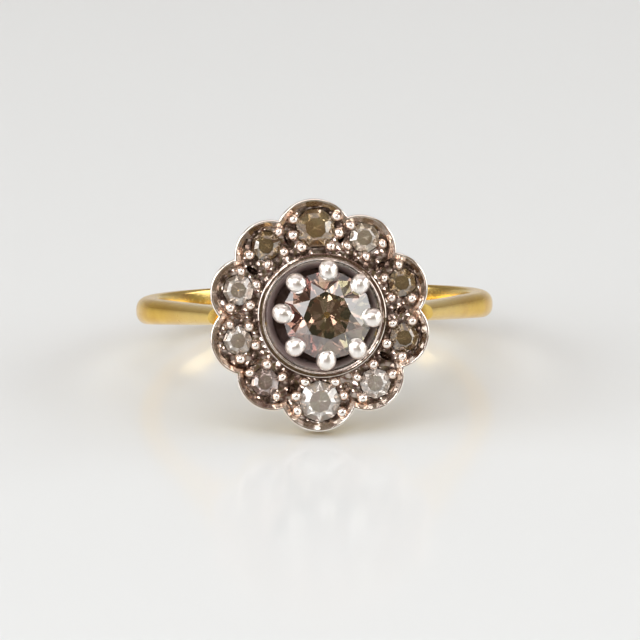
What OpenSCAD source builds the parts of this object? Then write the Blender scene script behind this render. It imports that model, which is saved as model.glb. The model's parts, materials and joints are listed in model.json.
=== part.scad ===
// Cluster ring: a tapering gold band whose shoulders carry a flower of ten small stones
// round a claw-set centre stone. It lies as such a ring does on a table, on its lowest petal
// and on the back of the band, with the flower leaning back to face the viewer.

/* [Band] */
// Inside diameter of the band
finger_d = 16.5; // [15.5:0.5:18]
// Thickness of the band, from the finger to the crown of its rounded outside
band_t = 1.15; // [1.05:0.05:1.25]
// Width of the band at the back
band_back_w = 1.9; // [1.6:0.1:2.2]
// Width of the band where its shoulders meet the head
band_front_w = 0.9; // [0.8:0.1:1.1]
// Angle from the head's axis at which the shoulders leave the round of the band
shoulder_angle = 67; // [66:1:68]
// Thickness of the rail that carries the round of the band on under the head
rail_t = 0.7; // [0.6:0.05:0.8]

/* [Head] */
// Height of the gold back plate above the finger
gallery_h = 1.75; // [1.7:0.05:1.9]
// Thickness of the gold back plate
back_t = 0.7; // [0.6:0.05:0.8]
// How far the gold back plate stands out round the platinum
back_lip = 0.04; // [0.02:0.01:0.08]
// Outside diameter of the gold gallery tube between back plate and finger
gallery_d = 6.3; // [6:0.1:6.6]
// Wall of the gallery tube
gallery_wall = 0.5; // [0.4:0.05:0.6]
// Thickness of the platinum plate that holds the petal stones
plate_t = 0.5; // [0.45:0.05:0.6]
// Height of the rim round the petals above the plate
rim_h = 0.36; // [0.3:0.02:0.42]
// Width of the rim's top edge
rim_w = 0.14; // [0.12:0.02:0.18]
// Width of the slope inside the rim
rim_slope = 0.3; // [0.26:0.02:0.34]
// Width of the drilled recess between two petals, at the plate's surface
recess_d = 0.5; // [0.4:0.02:0.56]
// Depth of that recess
recess_depth = 0.3; // [0.2:0.02:0.36]

/* [Centre setting] */
// Diameter of the collar where it meets the plate
collar_d = 6.5; // [6.4:0.05:6.6]
// Diameter of the collar at its top edge
collar_top_d = 6.0; // [5.9:0.05:6.1]
// Height of the collar above the plate
collar_h = 0.9; // [0.8:0.05:1]
// Height of the step round the collar's foot
collar_step_h = 0.45; // [0.35:0.05:0.55]
// Width of that step
collar_step_w = 0.14; // [0.1:0.02:0.16]
// Width of the collar's top edge
collar_edge = 0.11; // [0.08:0.01:0.14]
// Number of claws
claws = 8; // [6:1:8]
// Diameter of a claw's rounded tip
claw_tip_d = 1.04; // [0.92:0.02:1.06]
// Diameter of a claw's stem
claw_stem_d = 0.72; // [0.6:0.02:0.76]
// Turn of the whole crown of claws about the head's axis
claw_turn = -3.5; // [-6:0.5:6]
// How far the collar sits to the right of the flower's centre
collar_shift = 0.1; // [0:0.02:0.12]
// How far the claws and centre stone sit to the right of the flower's centre
claw_shift = 0.3; // [0:0.05:0.3]

/* [Stones] */
// Diameter of the centre stone
centre_d = 4.5; // [4.4:0.05:4.6]
// Height of the centre stone's girdle above the collar's top edge
centre_lift = 0.18; // [0.1:0.02:0.26]
// Diameter of a grain of metal that holds a petal stone
grain_d = 0.56; // [0.46:0.02:0.58]
// Clearance between a stone and its metal
stone_gap = 0.02; // [0.01:0.01:0.04]

/* [Hidden] */
$fn = 64;

GOLD = [0.83, 0.66, 0.30];
PLATINUM = [0.74, 0.73, 0.71];
DIAMOND = [0.86, 0.88, 0.88];

// Petals, anticlockwise from the right as the wearer's friend sees them: angle of the petal,
// how far its rim reaches, radius of its arc, then angle, distance and diameter of its stone
PETALS = [
    [19.3, 5.67, 1.85, 20.3, 4.44, 1.46],
    [57.3, 5.65, 1.85, 59.3, 4.50, 1.52],
    [93.8, 5.92, 2.00, 92.3, 4.42, 2.02],
    [129.3, 5.76, 1.85, 127.3, 4.48, 1.52],
    [162.8, 5.78, 1.82, 162.3, 4.38, 1.56],
    [197.3, 5.82, 1.85, 196.3, 4.42, 1.46],
    [230.3, 5.75, 1.83, 229.3, 4.46, 1.44],
    [267.3, 5.95, 2.05, 268.3, 4.42, 2.10],
    [307, 5.73, 1.86, 307.3, 4.46, 1.56],
    [344.3, 5.65, 1.82, 343.3, 4.42, 1.50]
];
petal_count = len(PETALS);
function petal_angle(i) = PETALS[i][0];
function petal_reach(i) = PETALS[i][1];
function petal_r(i) = PETALS[i][2];
function stone_angle(i) = PETALS[i][3];
function stone_dist(i) = PETALS[i][4];
function stone_d(i) = PETALS[i][5];

// Angle of the notch between a petal and the next one, where their two arcs cross
function petal_centre(i) =
    (petal_reach(i) - petal_r(i)) * [cos(petal_angle(i)), sin(petal_angle(i))];
function crossing(p, q, r, s) =
    let (gap = norm(q - p), along = (gap * gap + r * r - s * s) / (2 * gap),
        up = sqrt(r * r - along * along), dir = (q - p) / gap)
    p + along * dir + up * [dir[1], -dir[0]];
function notch_angle(i) =
    let (next = (i + 1) % petal_count,
        at = crossing(petal_centre(i), petal_centre(next), petal_r(i), petal_r(next)))
    atan2(at[1], at[0]);

// Room for a cut to run past the faces that it opens
past = 1;

// Proportions of an old round cut, as shares of the stone's diameter
table_share = 0.55;
crown_share = 0.16;
girdle_share = 0.03;
pavilion_share = 0.43;
culet_share = 0.07;
// How far up the crown the star facets reach down, and down the pavilion the lower halves reach
star_share = 0.55;
lower_share = 0.7;
// Corners of a stone's table, and half the angle between two of them
sides = 8;
half_step = 180 / sides;

// Grains round a petal stone, as angles from the line that leads outwards from the head's
// centre: four to a small stone and six to a large one
SMALL_GRAINS = [80, 146, -146, -80];
LARGE_GRAINS = [66, 104, 142, -142, -104, -66];
large_stone_d = 1.9;
grain_gap = 0.2;
grain_lift = 0.12;
// How far a recess lies inside the petal's tip, and the radius of its bottom
recess_inset = 1.35;
recess_tip_r = 0.02;
// Share of a stone's diameter that is open behind it, and how much wider that hole ends
light_share = 0.6;
light_flare = 0.1;

// Radii of the band and heights in the head, all measured from the finger's axis
finger_r = finger_d / 2;
crown_r = finger_r + band_t;
back_z = finger_r + gallery_h;
plate_z = back_z + back_t + stone_gap;
floor_z = plate_z + plate_t;
rim_z = floor_z + rim_h;
collar_z = floor_z + collar_h;
girdle_z = collar_z + centre_lift;
web_t = 0.35;
web_rise = 0.05;
web_hole_r = 1.55;
// The collar's hollow: a steep wall from the web, then a flare from its throat to its mouth
collar_foot_r = 2.42;
collar_throat_r = 2.64;
collar_throat_h = 0.42;
collar_mouth_r = collar_top_d / 2 - collar_edge;
hollow_h = collar_z - plate_z - web_t;
wall_slope = (collar_throat_r - collar_foot_r) / (hollow_h - collar_throat_h);
flare_slope = (collar_mouth_r - collar_throat_r) / collar_throat_h;

// Level at which the shoulders end, just behind the face of the gold back plate
shoulder_z = back_z + back_t - 0.1;
// Level below the finger's top from which the gallery tube is drawn
gallery_foot_z = finger_r - gallery_d / 5;

// Section of the band: height of its side walls, chamfer inside, where its outside starts to
// round over and how far in from the side that is, and half the width of its crown
side_h = 0.6;
comfort = 0.1;
round_h = 0.95;
round_in = 0.24;
crown_half = 0.3;
// Metal inside the band's true bore, which the last cut takes away in one pass
bore_stock = 0.25;

// Claws: where the stem starts on the web, and where the tip's centre lies above the girdle
claw_foot_r = 2.05;
claw_tip_r = centre_d / 2 + 0.06;
claw_tip_z = girdle_z + 0.1;

// The tilt at which the lowest petal and the back of the band touch the same level
low_petal = 7;
head_low = petal_reach(low_petal) + back_lip;
rest_tilt = atan((head_low - band_back_w / 2) / (back_z + finger_r + side_h));
rest_rise = head_low * cos(rest_tilt) - back_z * sin(rest_tilt);
// Front and back ends of the tilted ring, for the centre of its box
rest_front = claw_tip_z * cos(rest_tilt) + claw_tip_r * sin(rest_tilt) + claw_tip_d / 2;
rest_back = crown_r * cos(rest_tilt) + crown_half * sin(rest_tilt);
rest_shift = (rest_front - rest_back) / 2;

// Lays the upright ring down: finger axis leaning, head to the front
module at_rest() {
    translate([0, rest_shift, rest_rise])
        rotate([-rest_tilt, 0, 0]) children();
}

// Turns the head's own frame, with the stones facing +Z, to face the front
module on_head() {
    rotate([90, 0, 0]) children();
}

// Puts its children at an angle and a distance from the head's axis, turned to face outwards
module around(angle, distance) {
    rotate([0, 0, angle]) translate([distance, 0, 0]) children();
}

// Section of the band: flat inside, upright sides and an outside that rounds over in flats
module band_section() {
    half = band_back_w / 2;
    side = [
        [finger_r - bore_stock, half - comfort - bore_stock],
        [finger_r + comfort, half],
        [finger_r + side_h, half],
        [finger_r + round_h, half - round_in],
        [crown_r, crown_half]
    ];
    polygon(concat(side, [for (i = [4:-1:0]) [side[i][0], -side[i][1]]]));
}

// The round of the band, from one shoulder round the back to the other
module band_round() {
    rotate([0, 0, shoulder_angle - 90])
        rotate_extrude(angle = 360 - 2 * shoulder_angle) band_section();
}

// One shoulder: the band's section carried straight on until it meets the back plate
module shoulder() {
    run = (plate_z - finger_r * cos(shoulder_angle)) / sin(shoulder_angle) + past;
    rotate([0, 0, shoulder_angle - 90])
        rotate([90, 0, 0]) linear_extrude(run) band_section();
}

// The rail that closes the round under the head, from shoulder to shoulder
module rail() {
    reach = shoulder_angle + 4;
    rotate([0, 0, 270 - reach])
        rotate_extrude(angle = 2 * reach)
            translate([finger_r - bore_stock, -band_front_w / 2])
                square([rail_t + bore_stock, band_front_w]);
}

// The wedge that the band's width follows, wide at the back and narrow at the head
module band_taper() {
    back_half = band_back_w / 2;
    front_half = band_front_w / 2;
    slope = (back_half - front_half) / (crown_r + plate_z);
    wide = back_half + past * slope;
    narrow = front_half - past * slope;
    rotate([0, -90, 0])
        linear_extrude(3 * crown_r, center = true)
            polygon([
                [narrow, -plate_z - past], [wide, crown_r + past],
                [-wide, crown_r + past], [-narrow, -plate_z - past]
            ]);
}

module band() {
    intersection() {
        union() {
            band_round();
            shoulder();
            mirror([1, 0, 0]) shoulder();
            rail();
        }
        band_taper();
    }
}

// Outline of the flower: one disc for each petal and one that fills the middle
module flower(grow) {
    circle(r = stone_dist(0));
    for (i = [0:petal_count - 1])
        rotate(petal_angle(i)) translate([petal_reach(i) - petal_r(i), 0])
            circle(r = petal_r(i) + grow);
}

// Open way behind each petal stone, which widens towards the finger
module light_holes() {
    for (i = [0:petal_count - 1])
        around(stone_angle(i), stone_dist(i))
            translate([0, 0, back_z - past])
                cylinder(
                    r1 = stone_d(i) * light_share / 2 + light_flare,
                    r2 = stone_d(i) * light_share / 2,
                    h = back_t + past + 0.01
                );
}

// Gold back plate and the tube that stands on the finger
module gallery() {
    translate([0, 0, back_z]) linear_extrude(back_t) flower(back_lip);
    translate([0, 0, gallery_foot_z]) rotate([0, 0, 90])
        cylinder(d = gallery_d, h = back_z - gallery_foot_z + back_t / 2);
}

module gallery_hollow() {
    translate([0, 0, gallery_foot_z - past])
        cylinder(d = gallery_d - 2 * gallery_wall, h = plate_z - gallery_foot_z + 2 * past);
}

module shank() {
    color(GOLD) at_rest() difference() {
        union() {
            difference() {
                band();
                on_head() translate([0, 0, shoulder_z])
                    linear_extrude(2 * past) square(4 * finger_r, center = true);
            }
            on_head() gallery();
        }
        on_head() gallery_hollow();
        on_head() light_holes();
        cylinder(r = finger_r, h = 2 * finger_d, center = true);
    }
}

// Hollow of one petal inside its rim: a flat floor and a sloping side
module petal_bowl(i) {
    floor_r = petal_r(i) - rim_w - rim_slope;
    around(petal_angle(i), petal_reach(i) - petal_r(i))
        translate([0, 0, floor_z]) cylinder(r1 = floor_r, r2 = floor_r + 2 * rim_slope, h = 2 * rim_h);
}

// Drilled recess between a petal and the next one, close inside their notch
module recess(i) {
    mouth_r = recess_d / 2;
    rotate([0, 0, notch_angle(i)])
        translate([petal_reach(i) - recess_inset, 0, floor_z - recess_depth])
            cylinder(r1 = recess_tip_r, r2 = mouth_r * (1 + rim_h / recess_depth), h = recess_depth + rim_h);
}

// Platinum plate: the flower's outline with its bowls and recesses
module petal_plate() {
    difference() {
        translate([0, 0, plate_z]) linear_extrude(plate_t + rim_h) flower(0);
        for (i = [0:petal_count - 1]) petal_bowl(i);
        for (i = [0:petal_count - 1]) recess(i);
    }
}

// Grains raised from the plate, each pressed over the edge of its stone
module grains(i) {
    around(stone_angle(i), stone_dist(i))
        for (a = stone_d(i) > large_stone_d ? LARGE_GRAINS : SMALL_GRAINS)
            rotate([0, 0, a]) translate([stone_d(i) / 2 + grain_gap, 0, floor_z + grain_lift])
                sphere(d = grain_d);
}

// Collar round the centre, still solid inside: an upright foot, a step, and a tapering top
module collar() {
    step_z = floor_z + collar_step_h;
    translate([collar_shift, 0, plate_z + web_rise])
        cylinder(d = collar_d, h = step_z - plate_z - web_rise);
    translate([collar_shift, 0, step_z - web_rise])
        cylinder(d1 = collar_d - 2 * collar_step_w, d2 = collar_top_d, h = collar_z - step_z + web_rise);
}

// Inside of the collar, down to the web that carries the claws, and the light hole through that
module collar_hollow() {
    flare_h = 2 * collar_throat_h;
    translate([collar_shift, 0, plate_z + web_t])
        cylinder(r1 = collar_foot_r, r2 = collar_foot_r + wall_slope * (hollow_h + past), h = hollow_h + past);
    translate([collar_shift, 0, collar_z - flare_h])
        cylinder(
            r1 = collar_mouth_r - flare_slope * flare_h,
            r2 = collar_mouth_r + flare_slope * past,
            h = flare_h + past
        );
    translate([collar_shift, 0, plate_z - past]) cylinder(r = web_hole_r, h = 2 * past + plate_t);
}

// One claw: a stem that leans outwards from the web, with a round tip over the stone's edge
module claw() {
    foot_z = plate_z + web_t / 2;
    rise = claw_tip_z - foot_z;
    lean = atan((claw_tip_r - claw_foot_r) / rise);
    translate([claw_foot_r, 0, foot_z])
        rotate([0, lean, 0]) cylinder(d = claw_stem_d, h = rise / cos(lean));
    translate([claw_tip_r, 0, claw_tip_z]) sphere(d = claw_tip_d);
}

module claw_crown() {
    translate([claw_shift, 0, 0])
        for (i = [0:claws - 1])
            rotate([0, 0, claw_turn + i * 360 / claws]) claw();
}

// Room for a stone: its outline turned into a round cutter and grown by the clearance
module stone_seat(d) {
    r = d / 2 + stone_gap;
    table_z = (girdle_share / 2 + crown_share) * d + stone_gap;
    girdle_h = girdle_share * d / 2 + stone_gap;
    star_z = (girdle_share / 2 + crown_share * star_share) * d;
    rotate_extrude()
        polygon([
            [0, -girdle_h - pavilion_share * d], [culet_share * d / 2, -girdle_h - pavilion_share * d],
            [r, -girdle_h], [r, girdle_h], [star_r(d) + stone_gap, star_z],
            [table_share * d / 2 + stone_gap, table_z], [table_share * d / 2, table_z + past],
            [0, table_z + past]
        ]);
}

module petal_seat(i) {
    around(stone_angle(i), stone_dist(i)) {
        translate([0, 0, floor_z]) stone_seat(stone_d(i));
        translate([0, 0, plate_z - past])
            cylinder(d = stone_d(i) * light_share, h = plate_t + past - 0.1);
    }
}

module setting() {
    color(PLATINUM) at_rest() on_head() {
        difference() {
            union() {
                petal_plate();
                collar();
                for (i = [0:petal_count - 1]) grains(i);
            }
            for (i = [0:petal_count - 1]) petal_seat(i);
            collar_hollow();
        }
        difference() {
            claw_crown();
            translate([claw_shift, 0, girdle_z]) stone_seat(centre_d);
        }
    }
}

// Radius of the corners where two star facets and two upper halves meet
function star_r(d) =
    (d / 2 - star_share * (1 - table_share) * d / 2) / cos(half_step);
// Radius of the corners where the lower halves meet the pavilion's main facets
function lower_r(d) =
    (d / 2 - lower_share * (1 - culet_share) * d / 2) / cos(half_step);
// One ring of corners at a radius and height, its first corner turned by start
function ring(count, r, z, start = 0) =
    [for (k = [0:count - 1]) [r * cos(start + k * 360 / count), r * sin(start + k * 360 / count), z]];

// A round stone of 58 facets about its girdle: table, stars, mains, halves and a small culet
module cut_stone(d) {
    top = girdle_share * d / 2;
    n = sides;
    corners = concat(
        ring(n, table_share * d / 2, top + crown_share * d),
        ring(n, star_r(d), top + star_share * crown_share * d, half_step),
        ring(2 * n, d / 2, top),
        ring(2 * n, d / 2, -top),
        ring(n, lower_r(d), -top - lower_share * pavilion_share * d, half_step),
        ring(n, culet_share * d / 2 / cos(half_step), -top - pavilion_share * d, half_step)
    );
    star = n;
    upper = 2 * n;
    under = 4 * n;
    lower = 6 * n;
    culet = 7 * n;
    facets = concat(
        [[for (k = [n - 1:-1:0]) k]],
        [for (k = [0:n - 1]) [k, (k + 1) % n, star + k]],
        [for (k = [0:n - 1]) [k, star + k, upper + 2 * k, star + (k + n - 1) % n]],
        [for (k = [0:n - 1]) [star + k, upper + 2 * k + 1, upper + 2 * k]],
        [for (k = [0:n - 1]) [star + k, upper + (2 * k + 2) % (2 * n), upper + 2 * k + 1]],
        [for (k = [0:2 * n - 1])
            [upper + k, upper + (k + 1) % (2 * n), under + (k + 1) % (2 * n), under + k]],
        [for (k = [0:n - 1]) [lower + k, under + 2 * k, under + 2 * k + 1]],
        [for (k = [0:n - 1]) [lower + k, under + 2 * k + 1, under + (2 * k + 2) % (2 * n)]],
        [for (k = [0:n - 1])
            [culet + k, culet + (k + n - 1) % n, lower + (k + n - 1) % n, under + 2 * k, lower + k]],
        [[for (k = [0:n - 1]) culet + k]]
    );
    polyhedron(points = corners, faces = facets);
}

module centre_stone() {
    color(DIAMOND) at_rest() on_head()
        translate([claw_shift, 0, girdle_z]) cut_stone(centre_d);
}

module petal_stone(i) {
    color(DIAMOND) at_rest() on_head()
        around(stone_angle(i), stone_dist(i)) translate([0, 0, floor_z]) cut_stone(stone_d(i));
}

shank();
setting();
centre_stone();
for (i = [0:petal_count - 1])
    petal_stone(i);
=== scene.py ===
"""Cluster ring: the dressed model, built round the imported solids.

The gold shank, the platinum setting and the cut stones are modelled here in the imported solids'
places, with soft edges, pressed grains and worked claws. Sizes are in millimetres in the head's own
frame, as in the part's source, until a piece is finished.
"""

import json
import logging
import math
import random
from dataclasses import dataclass, field
from enum import Enum

import bmesh
import bpy
from mathutils import Matrix, Quaternion, Vector

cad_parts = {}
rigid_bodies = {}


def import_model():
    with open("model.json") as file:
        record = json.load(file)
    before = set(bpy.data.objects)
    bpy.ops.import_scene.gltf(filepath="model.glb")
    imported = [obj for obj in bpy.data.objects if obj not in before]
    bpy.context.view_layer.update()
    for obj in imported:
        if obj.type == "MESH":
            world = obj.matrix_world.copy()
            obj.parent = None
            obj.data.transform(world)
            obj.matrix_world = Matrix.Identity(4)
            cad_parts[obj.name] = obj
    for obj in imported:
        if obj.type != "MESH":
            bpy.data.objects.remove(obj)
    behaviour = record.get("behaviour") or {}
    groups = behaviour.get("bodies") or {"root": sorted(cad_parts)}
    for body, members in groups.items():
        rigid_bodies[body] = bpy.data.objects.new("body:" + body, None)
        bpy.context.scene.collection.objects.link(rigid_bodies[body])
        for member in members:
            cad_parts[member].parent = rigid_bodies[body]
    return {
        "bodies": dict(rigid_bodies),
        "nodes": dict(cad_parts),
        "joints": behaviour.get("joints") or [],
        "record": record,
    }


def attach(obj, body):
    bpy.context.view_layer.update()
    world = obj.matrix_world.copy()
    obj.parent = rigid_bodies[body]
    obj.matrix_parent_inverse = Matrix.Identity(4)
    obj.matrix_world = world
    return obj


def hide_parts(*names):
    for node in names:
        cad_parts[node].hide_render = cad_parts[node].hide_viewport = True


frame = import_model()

Colour = tuple[float, float, float, float]
Profile = list[tuple[float, float]]
Verts = list[bmesh.types.BMVert]

log = logging.getLogger("cluster_ring")
MM = 0.001
WELD_GAP = 1e-5
HAIR = 1e-6
UPRIGHT = Vector((0, 0, 1))


class Slot(Enum):
    """The record's material slots."""

    GOLD = "yellow_gold"
    PLATINUM = "platinum"
    DIAMOND = "diamond"


# Sizes


@dataclass(frozen=True)
class Petal:
    """One petal of the flower and the stone in it: degrees and millimetres."""

    angle: float
    reach: float
    radius: float
    stone_angle: float
    stone_distance: float
    stone_diameter: float

    def centre(self) -> Vector:
        """Centre of the petal's arc."""
        return polar(self.angle, self.reach - self.radius)

    def stone_centre(self) -> Vector:
        """Centre of the petal's stone."""
        return polar(self.stone_angle, self.stone_distance)


def polar(angle: float, distance: float, height: float = 0.0) -> Vector:
    """Point at an angle and a distance from the head's axis.

    Args:
        angle: Degrees from +X, anticlockwise.
        distance: Distance from the axis.
        height: Its level.

    Returns:
        The point.
    """
    turn = math.radians(angle)
    return Vector((distance * math.cos(turn), distance * math.sin(turn), height))


@dataclass(frozen=True)
class RingSizes:
    """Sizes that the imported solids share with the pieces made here, in millimetres.

    shoulder_angle is in degrees, light_share is a light hole's share of its stone's width, arc_steps
    counts the points along each petal's arc, and lowest is the number, from 0, of the petal that
    the ring rests on.
    """

    finger_r: float = 8.25
    band_t: float = 1.15
    band_back_w: float = 1.9
    band_front_w: float = 0.9
    shoulder_angle: float = 67.0
    rail_t: float = 0.7
    side_h: float = 0.6
    crown_half: float = 0.3
    comfort: float = 0.1
    gallery_h: float = 1.75
    gallery_d: float = 6.3
    gallery_wall: float = 0.5
    back_t: float = 0.7
    back_lip: float = 0.04
    plate_t: float = 0.5
    rim_h: float = 0.36
    rim_w: float = 0.14
    rim_slope: float = 0.3
    collar_d: float = 6.5
    collar_top_d: float = 6.0
    collar_h: float = 0.9
    collar_shift: float = 0.1
    collar_foot_r: float = 2.42
    web_t: float = 0.35
    web_hole_r: float = 1.55
    claw_shift: float = 0.3
    claw_foot_r: float = 2.05
    claw_tip_d: float = 1.04
    claw_tip_out: float = 0.06
    claw_tip_rise: float = 0.1
    centre_d: float = 4.5
    centre_lift: float = 0.18
    stone_gap: float = 0.02
    light_share: float = 0.6
    arc_steps: int = 30
    lowest: int = 7
    petals: tuple[Petal, ...] = (
        Petal(19.3, 5.67, 1.85, 20.3, 4.44, 1.46),
        Petal(57.3, 5.65, 1.85, 59.3, 4.50, 1.52),
        Petal(93.8, 5.92, 2.00, 92.3, 4.42, 2.02),
        Petal(129.3, 5.76, 1.85, 127.3, 4.48, 1.52),
        Petal(162.8, 5.78, 1.82, 162.3, 4.38, 1.56),
        Petal(197.3, 5.82, 1.85, 196.3, 4.42, 1.46),
        Petal(230.3, 5.75, 1.83, 229.3, 4.46, 1.44),
        Petal(267.3, 5.95, 2.05, 268.3, 4.42, 2.10),
        Petal(307.0, 5.73, 1.86, 307.3, 4.46, 1.56),
        Petal(344.3, 5.65, 1.82, 343.3, 4.42, 1.50),
    )

    @property
    def back_z(self) -> float:
        """Back face of the gold back plate, from the finger's axis."""
        return self.finger_r + self.gallery_h

    @property
    def plate_z(self) -> float:
        """Back face of the platinum plate."""
        return self.back_z + self.back_t + self.stone_gap

    @property
    def web_z(self) -> float:
        """Top of the web that carries the claws."""
        return self.plate_z + self.web_t

    @property
    def floor_z(self) -> float:
        """Floor of the petals, level with the small stones' girdles."""
        return self.plate_z + self.plate_t

    @property
    def rim_z(self) -> float:
        """Top of the rim round the petals."""
        return self.floor_z + self.rim_h

    @property
    def rim_foot(self) -> float:
        """Offset of the rim's inner foot from the flower's outline."""
        return -(self.rim_w + self.rim_slope)

    @property
    def collar_z(self) -> float:
        """Top edge of the collar."""
        return self.floor_z + self.collar_h

    @property
    def girdle_z(self) -> float:
        """Girdle of the centre stone."""
        return self.collar_z + self.centre_lift

    @property
    def low_reach(self) -> float:
        """Reach of the back plate under the lowest petal."""
        return self.petals[self.lowest].reach + self.back_lip

    def tilt(self) -> float:
        """Lean of the ring, in radians, as it rests on its lowest petal and the band's back."""
        drop = self.low_reach - self.band_back_w / 2
        return math.atan(drop / (self.back_z + self.finger_r + self.side_h))

    def claw_tip(self) -> Vector:
        """Centre of a claw's tip, from the claws' own axis."""
        return Vector((self.centre_d / 2 + self.claw_tip_out, 0, self.girdle_z + self.claw_tip_rise))

    def ring_place(self) -> Matrix:
        """Lays the upright ring down on its lowest petal and the back of its band.

        Returns:
            The matrix, from millimetres to metres.
        """
        tilt = self.tilt()
        tip = self.claw_tip()
        rise = self.low_reach * math.cos(tilt) - self.back_z * math.sin(tilt)
        front = tip.z * math.cos(tilt) + tip.x * math.sin(tilt) + self.claw_tip_d / 2
        back = (self.finger_r + self.band_t) * math.cos(tilt) + self.crown_half * math.sin(tilt)
        shift = (front - back) / 2
        lay = Matrix.Translation((0, shift * MM, rise * MM)) @ Matrix.Rotation(-tilt, 4, "X")
        return lay @ Matrix.Scale(MM, 4)

    def head_place(self) -> Matrix:
        """Matrix from the head's frame, stones facing +Z, to the laid ring."""
        return self.ring_place() @ Matrix.Rotation(math.pi / 2, 4, "X")

    def notch(self, i: int, offset: float) -> Vector:
        """Notch between a petal and the next one.

        Args:
            i: The first petal's number, from 0.
            offset: How far both arcs are grown.

        Returns:
            The outer point where the grown arcs cross.
        """
        a, b = self.petals[i], self.petals[(i + 1) % len(self.petals)]
        r, s = a.radius + offset, b.radius + offset
        gap = (b.centre() - a.centre()).length
        run = (gap * gap + r * r - s * s) / (2 * gap)
        way = (b.centre() - a.centre()) / gap
        return a.centre() + way * run + Vector((way.y, -way.x, 0)) * math.sqrt(r * r - run * run)

    def outline(self, offset: float, height: float) -> list[Vector]:
        """The flower's outline, grown or shrunk.

        Args:
            offset: How far it is grown.
            height: Its level.

        Returns:
            Its points, anticlockwise, the same number at any offset.
        """
        points = []
        for i, petal in enumerate(self.petals):
            start = self.notch(i - 1, offset) - petal.centre()
            end = self.notch(i, offset) - petal.centre()
            first = math.atan2(start.y, start.x)
            sweep = (math.atan2(end.y, end.x) - first) % math.tau
            for step in range(self.arc_steps):
                angle = first + sweep * step / self.arc_steps
                reach = Vector((math.cos(angle), math.sin(angle), 0)) * (petal.radius + offset)
                points.append(petal.centre() + reach + Vector((0, 0, height)))
        return points


# Shaders


class Value:
    """A shader socket that Python's operators turn into Math nodes."""

    def __init__(self, shader: "Shader", socket: bpy.types.NodeSocket) -> None:
        """Wraps a socket.

        Args:
            shader: The shader that the socket belongs to.
            socket: The output socket.
        """
        self.shader = shader
        self.socket = socket

    def __add__(self, other: "Value | float") -> "Value":
        """Sum."""
        return self.shader.maths("ADD", self, other)

    __radd__ = __add__

    def __sub__(self, other: "Value | float") -> "Value":
        """Difference."""
        return self.shader.maths("SUBTRACT", self, other)

    def __rsub__(self, other: "Value | float") -> "Value":
        """Difference from a number."""
        return self.shader.maths("SUBTRACT", other, self)

    def __mul__(self, other: "Value | float") -> "Value":
        """Product."""
        return self.shader.maths("MULTIPLY", self, other)

    __rmul__ = __mul__

    def between(self, low: float, high: float) -> "Value":
        """Smooth step from 0 at low to 1 at high, which may be the smaller.

        Args:
            low: Value at which the step starts.
            high: Value at which it ends.

        Returns:
            The step, from 0 to 1.
        """
        if low > high:
            return 1 - self.between(high, low)
        settings = {"interpolation_type": "SMOOTHSTEP"}
        inputs = {"Value": self, "From Min": low, "From Max": high}
        return self.shader.node("ShaderNodeMapRange", settings, inputs)


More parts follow.
